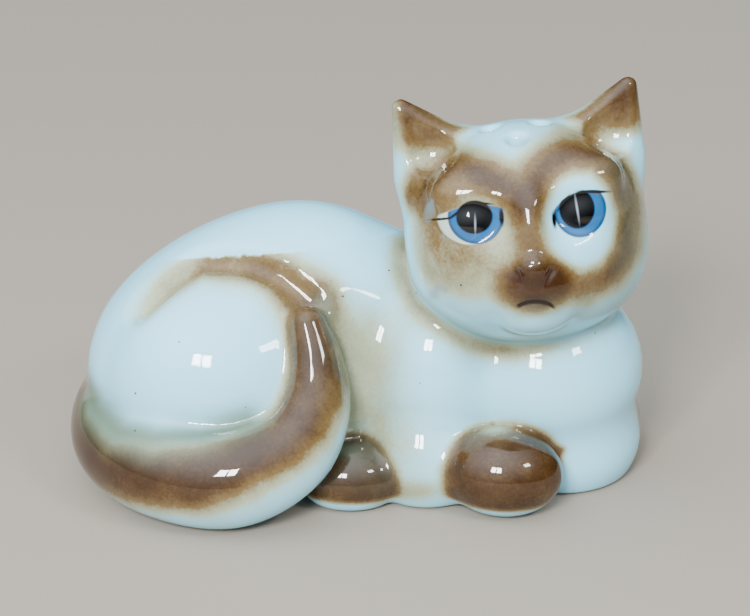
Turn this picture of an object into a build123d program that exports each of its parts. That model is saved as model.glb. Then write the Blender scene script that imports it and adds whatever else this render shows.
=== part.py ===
"""Glazed ceramic cat shaker: a reclining cat cast hollow, with pouring holes in its crown and a cork below.

Frame: millimetres, +Z up. The cat's back runs along X with its front towards +X, and its right side faces -Y.
The origin is the centre of the bounding box, on the plane that the foot rim rests on.

The ceramic is made from castings that are luted together with slip before firing: a hollow torso, a hollow head
nested in a socket between the shoulders, and solid ears, tail and paws. The cork is the one piece that comes off.
"""

from build123d import *

import copy
import math
import os
from dataclasses import dataclass

# Walls and foot of the casting
WALL = 2.4
FLOOR_THICKNESS = 2.4
FOOT_RECESS_DEPTH = 1.8
FOOT_RIM_INSET = 3.0

# Filling hole in the floor, and the cork that closes it
FILL_HOLE_RADIUS = 6.5
FILL_HOLE_PLACE = (-9.0, 1.5)
CORK_LENGTH = 7.0
CORK_HEAD = 1.3
CORK_PLAY = 0.02
CORK_TAPER = 0.11
CORK_CHAMFER = 0.4

# Pouring holes, in a triangle on the crown, in the head's axes
POUR_HOLE_RADIUS = 1.0
POUR_HOLE_RING = 3.4
POUR_HOLE_CENTRE_Y = -2.4
POUR_HOLE_ANGLES = (-90, 30, 150)
POUR_HOLE_BOTTOM = 8.0

# How the head sits on the shoulders: its centre, its turn in degrees about X, Y and Z, and the salt's way through
HEAD_CENTRE = (19.5, -3.5, 30.8)
HEAD_TURN = (-12, -5, 3)
NECK_PASSAGE_RADIUS = 4.5
NECK_PASSAGE_PLACE = (19.0, -1.5)
NECK_PASSAGE_BOTTOM = 12.0
NECK_PASSAGE_TOP = 27.0

# A size larger than the whole object, for blocks that cut it
BEYOND = 200.0

# The turn given to every ball before it is stretched, which keeps the seams of neighbouring masses apart
SEAM_TURN = (37, 21, 13)


@dataclass
class Mass:
    """One rounded mass: an ellipsoid with its centre, its three radii and its turn in degrees about X, Y and Z."""

    centre: tuple
    radii: tuple
    turn: tuple = (0, 0, 0)

    def solid(self, inset=0.0):
        """The mass as a solid, with each radius smaller by inset."""
        ball = scale(Rotation(*SEAM_TURN) * Sphere(1), by=tuple(radius - inset for radius in self.radii))
        return Pos(*self.centre) * (Rotation(*self.turn, ordering=Extrinsic.XYZ) * ball)


# The torso's masses
RUMP = Mass((-15, 0.5, 11.5), (16.6, 15, 15.8))
BACK = Mass((-6.5, 3, 14), (18, 13.5, 17.4))
LOIN = Mass((9, 3, 12.5), (14, 11.5, 12.8))
CHEST = Mass((22.5, -1, 13.2), (11.2, 11.5, 10.3))
SEAT = Mass((-12, 1, 6), (18, 13.5, 12))
BELLY = Mass((6, 1.5, 6), (16, 10.5, 11))
BREAST_FOOT = Mass((24.5, 1, 5), (9.5, 11, 8.5))
UPPER_ARM = Mass((9, -6, 12.5), (7, 6.5, 11), (0, 5, 0))
THIGH = Mass((-15.5, -7.5, 13.5), (12, 8.5, 10.5), (0, 12, 0))
NECK = Mass((18.5, 1, 22.5), (9, 9, 5))
TORSO_MASSES = (RUMP, BACK, LOIN, CHEST, SEAT, BELLY, BREAST_FOOT, UPPER_ARM, THIGH, NECK)
HOLLOW_TORSO_MASSES = (RUMP, BACK, LOIN, CHEST)
RECESS_MASSES = (SEAT, BELLY)

# The limbs that are luted on
FORE_PAW = Mass((17, -14, 4.4), (6.4, 4.6, 4.6), (0, 0, -8))
FOREARM = Mass((8.5, -10.5, 2.8), (8, 4.4, 3.6), (0, 0, -10))
HIND_PAW = Mass((-0.5, -11, 3.2), (6, 4.4, 4.2))
FAR_PAW = Mass((31, 5, 5.5), (3.4, 5, 6.5))

# The head's masses, in the head's own axes: X to its left cheek, -Y to its nose, +Z to its crown
SKULL = Mass((0, 0, 3.2), (13.3, 11.8, 9.4))
JAW = Mass((0, -0.5, -3.4), (13.4, 12, 9.4))
MUZZLE = Mass((0, -9.5, -4.8), (5.2, 4.4, 4.2))
NOSE_BRIDGE = Mass((0, -10.2, 0), (2.4, 3, 7))
HEAD_MASSES = (SKULL, JAW, MUZZLE, NOSE_BRIDGE)
HOLLOW_HEAD_MASSES = (SKULL, JAW)

# An ear, in the head's axes, on the +X side: a tapered pin from root to tip, flattened, with a cup in its front
EAR_ROOT = Vector(9.1, -0.6, 7.8)
EAR_TIP = Vector(13.1, -0.8, 15.5)
EAR_ROOT_RADIUS = 5.6
EAR_TIP_RADIUS = 1.1
EAR_FLATNESS = 0.8
EAR_CUP_ROOT = Vector(9.8, -4.6, 8.8)
EAR_CUP_TIP = Vector(12.6, -2.4, 14.0)
EAR_CUP_ROOT_RADIUS = 3.4
EAR_CUP_TIP_RADIUS = 0.7

# The tail's stations from its root round the haunch to its tip: a point on its centreline, and its radius there
TAIL_STATIONS = (
    (Vector(-24, 12, 7), 4.0),
    (Vector(-28, 5, 6), 5.2),
    (Vector(-27.3, -6, 6), 5.8),
    (Vector(-22, -14, 6.2), 5.8),
    (Vector(-14, -17, 6.3), 5.7),
    (Vector(-7.5, -16, 8.6), 5.0),
    (Vector(-4.6, -14, 13), 4.1),
    (Vector(-4.4, -12, 17.5), 3.4),
    (Vector(-5.2, -10.5, 21.5), 2.6),
)
TAIL_WRAPS_ROUND = Vector(-12, 2, 12)
TAIL_TIP_FULLNESS = 0.97
TAIL_BED = (RUMP, SEAT, THIGH, BACK)


def fuse(masses, inset=0.0):
    """The union of several masses, each with its radii smaller by inset."""
    solid = masses[0].solid(inset)
    for mass in masses[1:]:
        solid = solid + mass.solid(inset)
    return solid


def block_above(height):
    """A block that fills all the space above a height."""
    return Pos(0, 0, height) * Box(BEYOND, BEYOND, BEYOND, align=(Align.CENTER, Align.CENTER, Align.MIN))


def upright_cylinder(place, radius, bottom, top):
    """A cylinder about a vertical line at place, between two heights."""
    cylinder = Cylinder(radius, top - bottom, align=(Align.CENTER, Align.CENTER, Align.MIN))
    return Pos(*place, bottom) * cylinder


def head_location():
    """Where the head's own axes stand in the frame."""
    return Pos(*HEAD_CENTRE) * Rotation(*HEAD_TURN, ordering=Extrinsic.XYZ)


def neck_passage():
    """The salt's way from the torso up into the head."""
    return upright_cylinder(
        NECK_PASSAGE_PLACE, NECK_PASSAGE_RADIUS, NECK_PASSAGE_BOTTOM, NECK_PASSAGE_TOP
    )


def cut_away(solid, masses):
    """A solid with several masses cut from it, without the slivers that a cut can leave."""
    for mass in masses:
        solid = solid - mass.solid()
    return max(solid.solids(), key=lambda piece: piece.volume)


def make_torso():
    """The hollow torso: foot recess, filling hole, chamber, and the socket that the head sits in."""
    outer = fuse(TORSO_MASSES) & block_above(0)
    head_room = head_location() * fuse(HOLLOW_HEAD_MASSES, -WALL)
    chamber = fuse(HOLLOW_TORSO_MASSES, WALL) & block_above(FOOT_RECESS_DEPTH + FLOOR_THICKNESS)
    recess = fuse(RECESS_MASSES, FOOT_RIM_INSET) - block_above(FOOT_RECESS_DEPTH)
    hollow = outer - (chamber - head_room) - recess
    socketed = hollow - head_location() * fuse(HEAD_MASSES) - neck_passage()
    fill_hole_top = FOOT_RECESS_DEPTH + 2 * FLOOR_THICKNESS
    return socketed - upright_cylinder(FILL_HOLE_PLACE, FILL_HOLE_RADIUS, 0, fill_hole_top)


def make_head():
    """The hollow head, with its pouring holes and the passage through its underside."""
    chamber = fuse(HOLLOW_HEAD_MASSES, WALL)
    crown = SKULL.centre[2] + SKULL.radii[2] + WALL
    for angle in POUR_HOLE_ANGLES:
        x = POUR_HOLE_RING * math.cos(math.radians(angle))
        y = POUR_HOLE_CENTRE_Y + POUR_HOLE_RING * math.sin(math.radians(angle))
        chamber = chamber + upright_cylinder((x, y), POUR_HOLE_RADIUS, POUR_HOLE_BOTTOM, crown)
    return head_location() * (fuse(HEAD_MASSES) - chamber) - neck_passage()


def tapered_pin(root, tip, root_radius, tip_radius):
    """A pin with ball ends that tapers from root to tip, flattened front to back about its root."""
    length = (tip - root).length
    lean = math.asin((root_radius - tip_radius) / length)
    root_arc_middle = (lean - math.pi / 2) / 2
    tip_arc_middle = (lean + math.pi / 2) / 2
    bottom = (0, -root_radius)
    top = (0, length + tip_radius)
    low = (root_radius * math.cos(lean), root_radius * math.sin(lean))
    low_side = (root_radius * math.cos(root_arc_middle), root_radius * math.sin(root_arc_middle))
    high = (tip_radius * math.cos(lean), length + tip_radius * math.sin(lean))
    high_side = (tip_radius * math.cos(tip_arc_middle), length + tip_radius * math.sin(tip_arc_middle))
    outline = [
        ThreePointArc(bottom, low_side, low),
        Line(low, high),
        ThreePointArc(high, high_side, top),
        Line(top, bottom),
    ]
    pin = revolve(Plane.XZ * make_face(outline), Axis.Z)
    upright = Plane(origin=(0, 0, 0), x_dir=(0, 1, 0), z_dir=tip - root)
    return Pos(*root) * scale(upright * pin, by=(1, EAR_FLATNESS, 1))


def make_left_ear():
    """The left ear: a flattened pin with a cup in its front, cut to sit on the head."""
    pin = tapered_pin(EAR_ROOT, EAR_TIP, EAR_ROOT_RADIUS, EAR_TIP_RADIUS)
    cup = tapered_pin(EAR_CUP_ROOT, EAR_CUP_TIP, EAR_CUP_ROOT_RADIUS, EAR_CUP_TIP_RADIUS)
    return cut_away(pin - cup, HEAD_MASSES)


def make_tail():
    """The tail: round sections along its stations, with a ball for its tip, cut to lie on the torso."""
    path = Spline([point for point, _ in TAIL_STATIONS])
    places = [path.param_at_point(point) for point, _ in TAIL_STATIONS]
    radii = [radius for _, radius in TAIL_STATIONS]
    stations = list(zip(places, radii))
    stops = [stop for start, end in zip(stations, stations[1:]) for stop in (start, midway(start, end))]
    stops.append(stations[-1])
    sections = [section_across(path, place, radius) for place, radius in stops]
    tip = Pos(*TAIL_STATIONS[-1][0]) * Sphere(TAIL_TIP_FULLNESS * radii[-1])
    return cut_away(loft(sections, ruled=True) + tip, TAIL_BED)


def midway(start, end):
    """The stop halfway between two stops on the tail, each a place along it and a radius."""
    return tuple((a + b) / 2 for a, b in zip(start, end))


def section_across(path, place, radius):
    """A disc square to the path at a place along it, turned so that neighbouring discs line up."""
    along = path.tangent_at(place)
    across = along.cross(path.position_at(place) - TAIL_WRAPS_ROUND)
    return Plane(origin=path.position_at(place), x_dir=across, z_dir=along) * Circle(radius)


def make_right_foreleg():
    """The right foreleg: forearm and paw in one, lying on the ground."""
    return cut_away(fuse((FORE_PAW, FOREARM)) & block_above(0), TORSO_MASSES)


def make_cork():
    """The cork: its wide end stands in the foot recess, below the mouth of the filling hole that it stops."""
    mouth = FOOT_RECESS_DEPTH
    bottom_radius = FILL_HOLE_RADIUS - CORK_PLAY + CORK_HEAD * CORK_TAPER
    top_radius = bottom_radius - CORK_LENGTH * CORK_TAPER
    cork = Cone(bottom_radius, top_radius, CORK_LENGTH, align=(Align.CENTER, Align.CENTER, Align.MIN))
    rims = cork.edges().filter_by(GeomType.CIRCLE)
    return Pos(*FILL_HOLE_PLACE, mouth - CORK_HEAD) * chamfer(rims, CORK_CHAMFER)


def make_pieces():
    """Every piece of the object where it stands, by name."""
    left_ear = make_left_ear()
    tail = make_tail()
    right_foreleg = make_right_foreleg()
    hind_paw = cut_away(HIND_PAW.solid() & block_above(0), TORSO_MASSES) - right_foreleg - tail
    return {
        "torso_shell": make_torso(),
        "head_shell": make_head(),
        "ear_left": head_location() * left_ear,
        "ear_right": head_location() * mirror(left_ear, about=Plane.YZ),
        "tail": tail,
        "foreleg_right": right_foreleg,
        "forepaw_left": cut_away(FAR_PAW.solid() & block_above(0), TORSO_MASSES),
        "hind_paw_right": hind_paw,
        "stopper": make_cork(),
    }


def main():
    """Move the object so that the origin is the bottom centre of its box, and write each piece."""
    pieces = make_pieces()
    box = Compound(children=[copy.copy(piece) for piece in pieces.values()]).bounding_box()
    to_origin = Pos(-box.center().X, -box.center().Y, -box.min.Z)
    os.makedirs("parts", exist_ok=True)
    for name, piece in pieces.items():
        export_step(to_origin * piece, f"parts/{name}.step")
    print("moved by", to_origin.position, "size", box.size)


if __name__ == "__main__":
    main()
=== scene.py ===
"""Glazed ceramic cat shaker: the modelled clay, the airbrushed colour and painted shade under the glaze, the cork
and the studio.

The clay is roughed out of balls and pins, fused, hollowed and drilled, and cut into its castings, which meet at
luted joints that the glaze covers. Sizes here are in millimetres, in the frame that the castings are designed in,
which stands on the filling hole's axis. The finished meshes are in metres, in the part's own frame.
"""

import math
from collections import namedtuple

import bpy
import numpy as np
from bpy.props import FloatProperty, FloatVectorProperty, PointerProperty
from mathutils import Euler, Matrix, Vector


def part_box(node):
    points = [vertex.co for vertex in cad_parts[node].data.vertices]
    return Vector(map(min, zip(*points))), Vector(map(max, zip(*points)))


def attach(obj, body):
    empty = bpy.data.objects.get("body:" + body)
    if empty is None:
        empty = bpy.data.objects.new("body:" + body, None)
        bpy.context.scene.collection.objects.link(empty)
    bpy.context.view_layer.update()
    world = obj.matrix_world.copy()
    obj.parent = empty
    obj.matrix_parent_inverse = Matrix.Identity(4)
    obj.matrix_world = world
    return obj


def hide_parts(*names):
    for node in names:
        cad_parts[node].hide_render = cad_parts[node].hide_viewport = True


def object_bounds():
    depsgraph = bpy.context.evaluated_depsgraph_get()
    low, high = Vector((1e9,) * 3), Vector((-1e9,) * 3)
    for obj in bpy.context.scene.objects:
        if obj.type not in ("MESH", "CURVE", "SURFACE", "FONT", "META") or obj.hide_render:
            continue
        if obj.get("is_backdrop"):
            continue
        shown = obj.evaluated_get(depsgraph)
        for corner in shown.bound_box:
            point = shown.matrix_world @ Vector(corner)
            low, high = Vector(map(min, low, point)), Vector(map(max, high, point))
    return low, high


bl_info = {
    "name": "Ceramic Cat Shaker",
    "version": (1, 0, 0),
    "blender": (4, 5, 0),
    "location": "View3D > Sidebar > Cat Shaker",
    "description": "Models a glazed ceramic cat shaker round its castings",
    "category": "Object",
}

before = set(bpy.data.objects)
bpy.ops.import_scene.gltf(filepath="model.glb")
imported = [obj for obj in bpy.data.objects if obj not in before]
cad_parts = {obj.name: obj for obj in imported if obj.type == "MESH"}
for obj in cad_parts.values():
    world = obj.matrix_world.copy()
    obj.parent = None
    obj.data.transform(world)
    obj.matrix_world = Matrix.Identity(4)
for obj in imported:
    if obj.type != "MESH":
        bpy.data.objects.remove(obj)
CAD_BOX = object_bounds()

MM = 0.001
CORK_LOW, CORK_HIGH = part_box("stopper")
CORK_MIDDLE = (CORK_LOW + CORK_HIGH) / 2
FILL_HOLE = Vector((-9.0, 1.5, 0.0))
ORIGIN = Vector((CORK_MIDDLE.x, CORK_MIDDLE.y, 0.0)) - FILL_HOLE * MM

# ---------------------------------------------------------------------------------------------------------------
# The masses that the clay is built from: centre, radii, turn in degrees about X, Y and Z, and how softly each
# one runs into what is there before it
# ---------------------------------------------------------------------------------------------------------------

Mass = namedtuple("Mass", "centre radii turn softness", defaults=((0, 0, 0), 0.0))
Pin = namedtuple("Pin", "root tip root_radius tip_radius")

RUMP = Mass((-15, 0.5, 11.5), (16.6, 15, 15.8))
BACK = Mass((-6.5, 3, 14), (18, 13.5, 17.4), softness=5)
LOIN = Mass((9, 3, 12.5), (14, 11.5, 12.8), softness=6)
CHEST = Mass((22.5, -1, 13.2), (11.2, 11.5, 10.3), softness=4)
BREAST_FOOT = Mass((24.3, 0.5, 3.8), (9.6, 11.2, 8), softness=3)
UPPER_ARM = Mass((9, -6, 12.5), (7, 6.5, 11), (0, 5, 0), 3)
THIGH = Mass((-15.5, -7.5, 13.5), (12, 8.5, 10.5), (0, 12, 0), 2)
NECK = Mass((18.5, 1, 22.5), (9, 9, 5), softness=4)
TORSO = (RUMP, BACK, LOIN, CHEST, BREAST_FOOT, UPPER_ARM, THIGH, NECK)
CHAMBER = (RUMP, BACK, LOIN, CHEST)

FORE_PAW = Mass((17, -13.2, 4.8), (6.8, 5.2, 5.1), (0, 0, -8), 1.5)
FOREARM = Mass((8.0, -9.3, 4.6), (6.6, 5.4, 6.4), (0, 0, -10), 2.2)
FORELEG = (FOREARM, FORE_PAW)
HIND_PAW = Mass((-0.5, -11, 3.2), (6, 4.4, 4.2), softness=1.2)
FAR_PAW = Mass((30.6, 4.6, 3.4), (3.7, 5.4, 6.2), softness=0.9)

# The tail's stations from root to tip: a place on its middle line and its radius there
TAIL = (
    (-24, 12, 7, 4.0),
    (-28, 5, 6, 5.2),
    (-27.3, -6, 5.8, 5.7),
    (-22, -14, 6.0, 5.9),
    (-14, -17, 6.0, 5.8),
    (-7.5, -16, 8.6, 5.0),
    (-4.6, -14, 13, 4.1),
    (-4.3, -12.2, 17.7, 3.1),
    (-5.2, -10.7, 22.0, 2.1),
)
TAIL_STEPS = 16
TAIL_REACH = 2.6
TAIL_SOFTNESS = 1.3

# The head stands on the shoulders at this place and turn. What follows is in its own axes: X to the left cheek,
# -Y to the nose, +Z to the crown
HEAD_CENTRE = Vector((19.5, -3.5, 30.8))
HEAD_TURN = (-12, -5, 3)
HEAD_SOFTNESS = 1.5
SKULL = Mass((0, 0, 3.2), (13.3, 11.8, 9.4))
JAW = Mass((0, -0.5, -3.4), (13.4, 12, 9.4), softness=5)
MUZZLE = Mass((-0.3, -9.5, -4.8), (5.2, 4.4, 4.2), softness=2.5)
NOSE_BRIDGE = Mass((-0.1, -10.2, 0), (2.3, 3.1, 7), softness=2.4)
CHIN = Mass((-0.6, -10.0, -8.2), (3.4, 2.8, 2.0), softness=1.6)
HEAD = (SKULL, JAW, MUZZLE, NOSE_BRIDGE, CHIN)
HEAD_CHAMBER = (SKULL, JAW)
BROWS = (
    Mass((-5.9, -7.6, 6.3), (4.6, 2.5, 2.6), (0, -3, 16), 3.4),
    Mass((5.6, -7.6, 6.7), (4.6, 2.4, 2.4), (0, 3, -18), 3.4),
)
NOSE = Mass((-0.5, -13.2, -2.6), (1.9, 1.5, 2.0), (25, 0, 0), 0.7)

EAR = Pin((9.0, 1.0, 7.6), (12.9, -0.2, 15.2), 5.4, 1.05)
EAR_SOFTNESS = 2.6
EAR_THICKNESS = 0.7
EAR_CUP = Pin((10.3, -2.9, 10.8), (12.65, -1.8, 14.2), 3.1, 0.8)
EAR_CUP_SOFTNESS = 0.8

# What is pressed and carved into the head: eye sockets with balls in them, nostrils, and the mouth
EYES = ((-6.3, 3.1), (5.3, 3.1))
SOCKET_FRONT = -13.4
SOCKET_RADII = (4.3, 2.9, 3.0)
SOCKET_SOFTNESS = 1.4
EYEBALL_FRONT = -8.2
EYEBALL_DROP = 0.2
EYEBALL_RADII = (3.5, 2.9, 3.0)
EYEBALL_SOFTNESS = 0.9
NOSTRILS = (((-2.6, -14.0, -2.3), (-1.6, -14.8, -4.2)), ((1.5, -14.0, -2.6), (0.2, -14.9, -4.4)))
NOSTRIL_RADIUS = 0.36
MOUTH_MIDDLE = (-1.0, -9.6)
MOUTH_RADIUS = 3.6
MOUTH_HALF_WIDTH = 2.1
MOUTH_FRONT = -14.0
MOUTH_DEPTH = 0.55
GROOVE_SOFTNESS = 0.5

# Walls, passages and holes
WALL = 2.4
CHAMBER_FLOOR = 4.2
NECK_PASSAGE = ((19.0, -1.5), 4.5, 12.0, 27.0)
FILL_HOLE_RADIUS = 6.5
FOOT_RECESS_DEPTH = 1.8
FOOT_RECESS = (
    Mass((-12, 1, 6), (15, 10.5, 9)),
    Mass((6, 1.5, 6), (13, 7.5, 8)),
)
POUR_HOLES = ((-0.6, -5.9), (-3.1, -1.5), (2.4, -1.8))
POUR_HOLE_RADIUS = 1.0
POUR_HOLE_MOUTH = 0.8
POUR_HOLE_BOTTOM, POUR_HOLE_TOP = 6, 20

# How the paint and the painted shade lie: lines that the airbrush follows, in the design frame. The thigh's band
# lies in a shallow groove
THIGH_GROOVE_RADIUS, THIGH_GROOVE_SOFTNESS = 0.9, 2.6
THIGH_BAND = ((-24, -6.3, 22.5), (-21.1, -5, 25.2), (-17.7, -4.2, 27.1), (-11.9, -5.6, 27.4), (-8.5, -6.9, 26.4),
              (-5.4, -8.6, 24.2))
TAIL_STRIPE = ((-30.5, 3, 9.5), (-32.6, -7.5, 7.2), (-29.5, -14.8, 6.6), (-22.8, -20.6, 7.4), (-17.1, -21.8, 8.4),
               (-12.6, -21.2, 10), (-8.8, -19.7, 11.8), (-6, -18.4, 13.7), (-4.4, -16.6, 16.5), (-3.9, -14.8, 19.4),
               (-4.8, -12.6, 22.6))
# Along the tail's hollow lies pooled glaze, and behind its tip brown; both are deepened into painted shade
TAIL_HOLLOW = ((-31, -3.5, 11), (-30, -8.5, 10.6), (-26.8, -14.6, 10.5), (-22.5, -17.3, 10.6), (-17, -17.8, 11.4),
               (-12, -16.4, 12.4))
TAIL_BACK_CREASE = ((-3.4, -8.6, 24), (-1.9, -10.5, 21.4), (-0.8, -12.4, 17), (-0.6, -12.4, 12), (-1, -12.5, 8))
ARM_CREASE = ((9.7, -13.9, 5.6), (12.6, -11.2, 7.3), (15.2, -9.8, 8.4), (18.9, -11.3, 8.3), (23.6, -10.8, 6.4))
# Shade is painted along these lines, down the flank's valley beside the tail and along the foot between the paws
FLANK_SHADE = ((1.5, -9.5, 20), (1.3, -11, 12.5), (4, -12, 7.5))
SOLE_SHADE = ((3.5, -14, 2.6), (8, -15.4, 2.8), (12.5, -17.5, 3))
TAIL_DARK_END = (-31, -12.5, 6.6)
PALE_KNUCKLES = (16.0, -12.0, 10.2)

# The same for the head, in its own axes
BROW_BAND = ((-12.8, 6.0), (-11.4, 7.5), (-9.3, 8.4), (-6.8, 8.6), (-4.5, 7.7), (-2.7, 6.6), (-1.2, 5.9), (0.2, 6.3),
             (1.1, 7.4), (2.6, 8.6), (4.7, 9.3), (7.7, 8.9), (10.1, 6.3), (11.1, 2.3), (10.3, -2.1), (8.2, -4.4),
             (5.1, -5.2))
CHEEK_PATCHES = (((-9.3, 1.2), (5.6, 5.4), 0.46), ((-5.6, -3.0), (5.5, 3.0), 0.26), ((-10.5, 5.4), (3.4, 2.6), 0.35))
EYE_CIRCLE = ((5.2, 2.1), (4.1, 4.9))
BRIDGE_BAND = ((-0.7, 5.8), (-0.6, 3), (-0.5, 0), (-0.4, -3))

# A distance past which one form has no more effect on another, and how far round the head's centre its forms reach
FAR_ENOUGH = 8.0
HEAD_REACH = 26

# How the clay is worked: the faces of the first rough skin, of the even one after it, of the chambers and of the
# tools and their cores, how round the edge at the ground is, and the size of a block of solid space
ROUGH_SKIN = 0.7
EVEN_SKIN = 0.5
CHAMBER_SKIN = 0.8
TOOL_SKIN = 0.4
CORE_SKIN = 0.6
GROUND_EDGE = 0.6
BLOCK = 200

# Where the castings meet: how far a tool stands off the casting that it cuts out, the form over the crown that the
# head's tool takes in, and how far up an ear its joint lies, with the block that cuts the ear off there
JOINT_GAP = 0.6
HEAD_JOINT_GAP = 1.5
OVER_HEAD = Mass((0, 0, 9), (20, 18, 12.5))
EAR_JOINT = 0.42
EAR_BLOCK_TOP = 1.6
EAR_BLOCK_RADIUS = 6.0

# The glaze evens out anything finer than this. A vertex nearer the form than the second number is on the skin
NORMAL_STEP = 0.25
SKIN_GAP = 0.06

# The cork narrows by this much of its height, and its edges are worn round
CORK_TAPER = 0.11
CORK_EDGE = 0.45

# ---------------------------------------------------------------------------------------------------------------
# Sculpting: how far a point is from a form, and how forms run together. Points are rows of an array
# ---------------------------------------------------------------------------------------------------------------


def turn_matrix(turn):
    """The turn, in degrees about X, then Y, then Z, as a matrix for rows of points."""
    return np.array(Euler([math.radians(angle) for angle in turn]).to_matrix())


def ball_distance(points, mass, grow=0.0):
    """Roughly how far each point is outside a mass that is made larger all round by grow."""
    radii = np.array(mass.radii) + grow
    local = (points - np.array(mass.centre)) @ turn_matrix(mass.turn)
    stretch = np.linalg.norm(local / radii, axis=-1)
    steepness = np.linalg.norm(local / radii**2, axis=-1)
    return stretch * (stretch - 1) / np.maximum(steepness, 1e-9)


def pin_distance(points, root, tip, root_radius, tip_radius):
    """How far each point is outside a round pin that tapers from root to tip, with a ball at each end."""
    root, along = np.array(root, float), np.subtract(tip, root)
    length = np.linalg.norm(along)
    taper = (root_radius - tip_radius) / length
    local = points - root
    ahead = local @ along / length
    aside = np.sqrt(np.maximum((local**2).sum(axis=-1) - ahead**2, 0))
    place = np.clip((ahead - aside * taper / math.sqrt(1 - taper**2)) / length, 0, 1)
    radius = root_radius + (tip_radius - root_radius) * place
    return np.linalg.norm(local - place[..., None] * along, axis=-1) - radius


def line_distance(points, line):
    """How far each point is from a line through several places."""
    spans = [pin_distance(points, start, end, 0, 0) for start, end in zip(line, line[1:])]
    return np.min(spans, axis=0)


def blended(first, second, softness):
    """The union of two forms, with a fillet as soft as asked for."""
    if softness <= 0:
        return np.minimum(first, second)
    share = np.clip(0.5 + 0.5 * (second - first) / softness, 0, 1)
    return second * (1 - share) + first * share - softness * share * (1 - share)


def carved(form, tool, softness):
    """A form with a tool's shape taken out of it, with a rounded edge."""
    return -blended(-form, tool, softness)


def masses_distance(points, masses, grow=0.0):
    """How far each point is outside several masses that run together."""
    form = ball_distance(points, masses[0], grow)
    for mass in masses[1:]:
        form = blended(form, ball_distance(points, mass, grow), mass.softness)
    return form


def smooth_path(stations, steps):
    """A Catmull-Rom path through stations, with steps to a span."""
    stations = np.array(stations, float)
    ends = np.vstack([2 * stations[0] - stations[1], stations, 2 * stations[-1] - stations[-2]])
    path = []
    for before, start, end, after in zip(ends, ends[1:], ends[2:], ends[3:]):
        for place in np.arange(steps) / steps:
            bend = (2 * before - 5 * start + 4 * end - after) * place**2
            twist = (3 * start - before - 3 * end + after) * place**3
            path.append((2 * start + (end - before) * place + bend + twist) / 2)
    return np.array(path + [stations[-1]])


TAIL_PATH = smooth_path(TAIL, TAIL_STEPS)


def only_near(points, centre, reach, distance):
    """A form's distance, worked out only within reach of a centre, and roughly beyond."""
    gap = np.linalg.norm(points - np.array(centre), axis=-1)
    close = gap < reach
    result = gap - reach + FAR_ENOUGH
    result[close] = distance(points[close])
    return result


def tail_distance(points):
    """How far each point is outside the tail."""
    result = np.full(len(points), 1e3)
    for start, end in zip(TAIL_PATH, TAIL_PATH[1:]):
        reach = max(start[3], end[3]) + TAIL_REACH
        low = np.minimum(start[:3], end[:3]) - reach
        high = np.maximum(start[:3], end[:3]) + reach
        close = np.flatnonzero(((points > low) & (points < high)).all(axis=1))
        span = pin_distance(points[close], start[:3], end[:3], start[3], end[3])
        result[close] = np.minimum(result[close], span)
    return np.minimum(result, FAR_ENOUGH)


def to_head(points):
    """Points of the design frame in the head's own axes."""
    return (points - np.array(HEAD_CENTRE)) @ turn_matrix(HEAD_TURN)


def from_head(point):
    """A place in the head's own axes, in the design frame."""
    return HEAD_CENTRE + Euler([math.radians(angle) for angle in HEAD_TURN]).to_matrix() @ Vector(point)


def ear_distance(points, side, pin=EAR):
    """How far each point in the head's axes is outside an ear's pin, on one side of the head."""
    local = points * (side, 1 / EAR_THICKNESS, 1)
    root = np.array(pin.root) * (1, 1 / EAR_THICKNESS, 1)
    tip = np.array(pin.tip) * (1, 1 / EAR_THICKNESS, 1)
    return pin_distance(local, root, tip, pin.root_radius, pin.tip_radius)


def mouth_distance(points):
    """How far each point in the head's axes is from the mouth's line."""
    x, z = points[..., 0] - MOUTH_MIDDLE[0], points[..., 2] - MOUTH_MIDDLE[1]
    angle = np.clip(np.arctan2(x, z), -MOUTH_HALF_WIDTH / MOUTH_RADIUS, MOUTH_HALF_WIDTH / MOUTH_RADIUS)
    nearest = np.stack(
        [
            MOUTH_MIDDLE[0] + MOUTH_RADIUS * np.sin(angle),
            np.full_like(x, MOUTH_FRONT),
            MOUTH_MIDDLE[1] + MOUTH_RADIUS * np.cos(angle),
        ],
        axis=-1,
    )
    return np.linalg.norm(points - nearest, axis=-1)


def head_distance(points):
    """How far each point in the head's axes is outside the finished head, with its ears."""
    form = masses_distance(points, HEAD)
    for brow in BROWS:
        form = blended(form, ball_distance(points, brow), brow.softness)
    for x, z in EYES:
        socket = Mass((x, SOCKET_FRONT, z), SOCKET_RADII)
        form = carved(form, ball_distance(points, socket), SOCKET_SOFTNESS)
        eyeball = Mass((x, EYEBALL_FRONT, z - EYEBALL_DROP), EYEBALL_RADII)
        form = blended(form, ball_distance(points, eyeball), EYEBALL_SOFTNESS)
    form = blended(form, ball_distance(points, NOSE), NOSE.softness)
    for start, end in NOSTRILS:
        form = carved(form, pin_distance(points, start, end, NOSTRIL_RADIUS, NOSTRIL_RADIUS), GROOVE_SOFTNESS)
    form = carved(form, mouth_distance(points) - MOUTH_DEPTH, GROOVE_SOFTNESS)
    for side in (-1, 1):
        form = blended(form, ear_distance(points, side), EAR_SOFTNESS)
        form = carved(form, ear_distance(points, side, EAR_CUP), EAR_CUP_SOFTNESS)
    for x, y in POUR_HOLES:
        hole = pin_distance(points, (x, y, 0), (x, y, POUR_HOLE_TOP), POUR_HOLE_RADIUS, POUR_HOLE_RADIUS)
        form = carved(form, hole, POUR_HOLE_MOUTH)
    return form


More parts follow.
